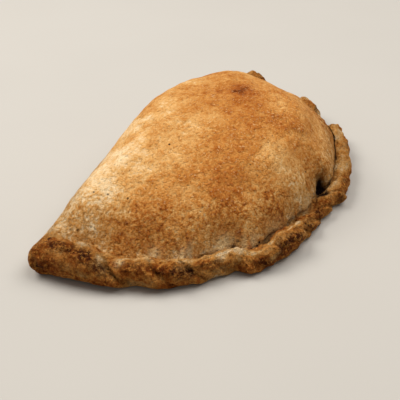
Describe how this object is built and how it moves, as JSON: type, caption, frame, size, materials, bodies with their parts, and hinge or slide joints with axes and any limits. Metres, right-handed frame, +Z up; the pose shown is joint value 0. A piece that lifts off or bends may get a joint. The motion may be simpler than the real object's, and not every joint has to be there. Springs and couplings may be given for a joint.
{
  "type": "calzone",
  "caption": "Baked half moon of folded dough with a domed top, a bulging fold and a rolled, pleated edge that ends in a stub at each tip.",
  "frame": {"origin": "middle of the bounding box in plan, on the surface that the flat base rests on", "axes": "+X along the fold from the near tip to the far tip, +Y from the rolled edge to the fold, +Z up"},
  "size_m": [0.2508, 0.1378, 0.0505],
  "materials": {
    "crust": "matte, uneven baked wholemeal dough, pale at the flanks and dark along the rolled edge"
  },
  "bodies": {
    "root": {"crust": "crust"}
  },
  "joints": []
}
